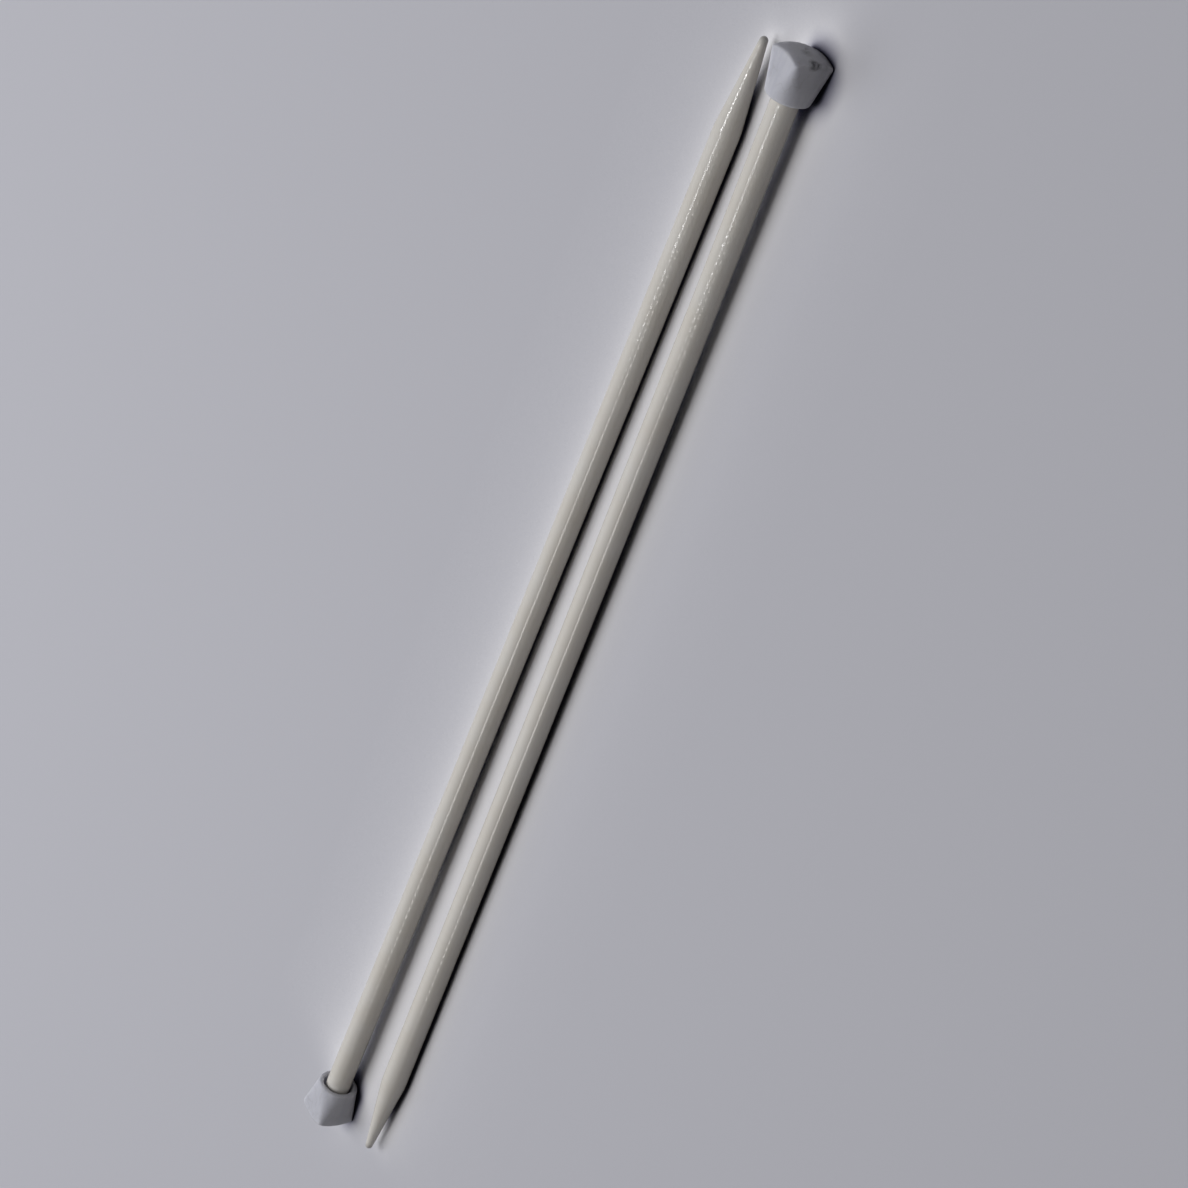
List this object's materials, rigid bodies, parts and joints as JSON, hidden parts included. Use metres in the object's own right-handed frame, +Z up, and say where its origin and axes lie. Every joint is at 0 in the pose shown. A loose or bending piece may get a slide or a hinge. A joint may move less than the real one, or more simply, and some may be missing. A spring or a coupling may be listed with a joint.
{
  "type": "pair of knitting needles",
  "caption": "Pair of straight single-pointed plastic knitting needles with tapered points and pushed-on square-ended caps, lying side by side, heads at opposite ends.",
  "frame": {"origin": "on the table plane, midway between the two heads", "axes": "+X along the front needle towards its head, +Y from the front needle towards the rear needle, +Z up from the table"},
  "size_m": [0.3562, 0.031, 0.0113],
  "materials": {
    "shaft_plastic": "glossy cream white, fine polishing ripples along the shaft",
    "cap_plastic": "satin cool white moulding"
  },
  "bodies": {
    "rear_needle": {"rear_needle_shaft": "shaft_plastic", "rear_needle_cap": "cap_plastic"},
    "front_needle": {"front_needle_shaft": "shaft_plastic", "front_needle_cap": "cap_plastic"}
  },
  "joints": [
    {"name": "front_needle_lift", "type": "slide", "parent": "rear_needle", "child": "front_needle", "axis": [0, 0, 1], "range_m": [0, 0.06]}
  ]
}
